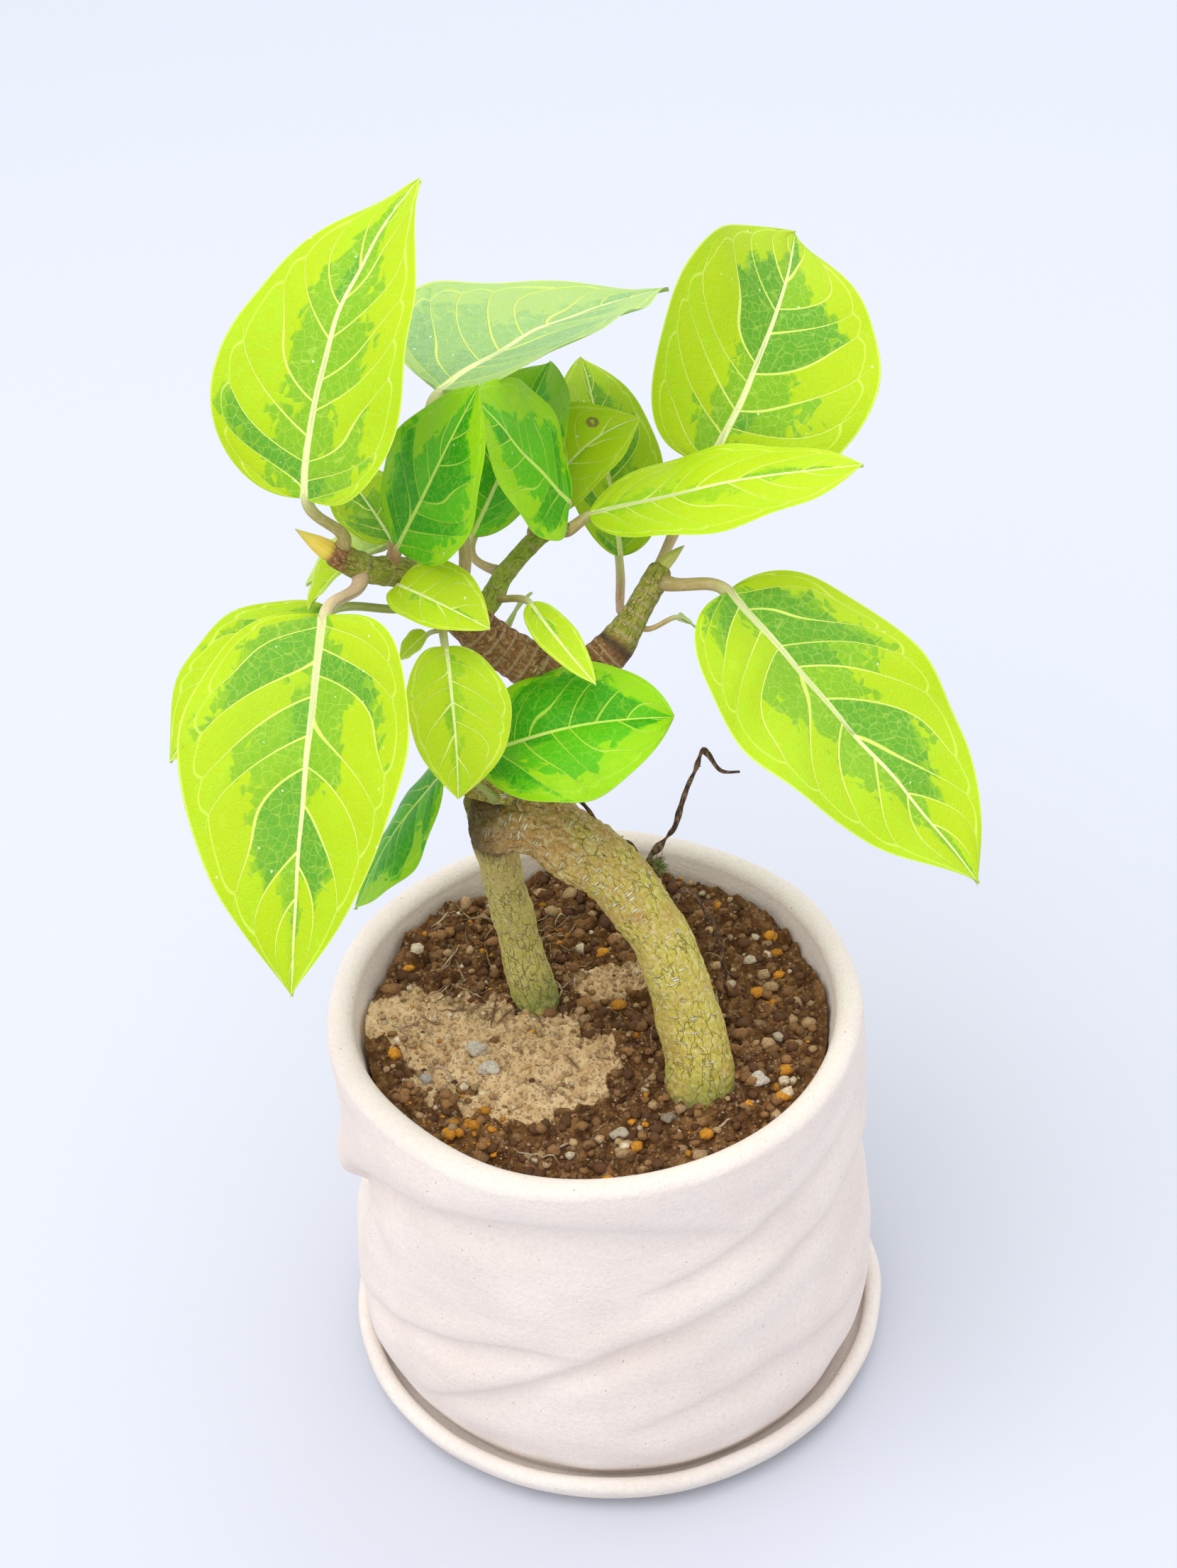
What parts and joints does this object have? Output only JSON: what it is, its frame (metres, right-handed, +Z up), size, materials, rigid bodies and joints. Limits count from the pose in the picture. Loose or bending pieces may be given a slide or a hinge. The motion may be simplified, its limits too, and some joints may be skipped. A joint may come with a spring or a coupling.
{
  "type": "potted bonsai fig",
  "caption": "Small variegated fig grown as a bonsai, with a bent trunk and prop root, in a draped matte clay pot standing on a round saucer.",
  "frame": {"origin": "middle of the saucer's flat underside, where the plant stands on a table", "axes": "+Z up along the pot's axis, -Y towards the front of the plant, +X to its right as seen from the front"},
  "size_m": [0.1923, 0.2118, 0.313],
  "materials": {
    "pot_clay": "matte",
    "saucer_clay": "matte",
    "mesh_plastic": "matte",
    "soil": "matte",
    "pebble": "matte",
    "bark": "matte",
    "brown_bark": "matte",
    "green_bark": "satin",
    "rootlet": "matte",
    "bud": "satin",
    "moss": "matte",
    "lime_leaf": "satin",
    "green_leaf": "satin",
    "yellow_leaf": "satin",
    "pale_leaf": "matte"
  },
  "bodies": {
    "root": {"saucer": "saucer_clay", "pot": "pot_clay", "drain_mesh": "mesh_plastic", "soil": "soil", "trunk": "bark", "prop_root": "bark", "leader": "bark", "left_branch": "brown_bark", "right_branch": "brown_bark", "middle_twig": "green_bark", "left_bud": "bud", "right_bud": "bud", "rootlet_tall": "rootlet", "rootlet_back": "rootlet", "rootlet_red": "rootlet", "moss_tuft": "moss", "pebble_1": "pebble", "pebble_2": "pebble", "pebble_3": "pebble", "pebble_4": "pebble", "pebble_5": "pebble", "pebble_6": "pebble", "leaf_crown_left": "lime_leaf", "leaf_big_left": "lime_leaf", "leaf_dark_front": "green_leaf", "leaf_crown_back": "lime_leaf", "leaf_crown_right": "lime_leaf", "leaf_folded_centre": "lime_leaf", "leaf_dark_back": "green_leaf", "leaf_spotted_yellow": "yellow_leaf", "leaf_back_right": "lime_leaf", "leaf_long_right": "yellow_leaf", "leaf_big_right": "lime_leaf", "leaf_tiny_right": "pale_leaf", "leaf_green_centre": "green_leaf", "leaf_narrow_centre": "yellow_leaf", "leaf_heart_front": "lime_leaf", "leaf_small_yellow": "yellow_leaf", "leaf_far_left": "lime_leaf", "leaf_pale_left": "pale_leaf", "leaf_folded_left": "yellow_leaf", "leaf_low_behind": "green_leaf", "leaf_tiny_left": "yellow_leaf", "leaf_pale_upright": "pale_leaf", "leaf_round_small": "lime_leaf", "leaf_yellow_left": "lime_leaf"}
  },
  "joints": []
}
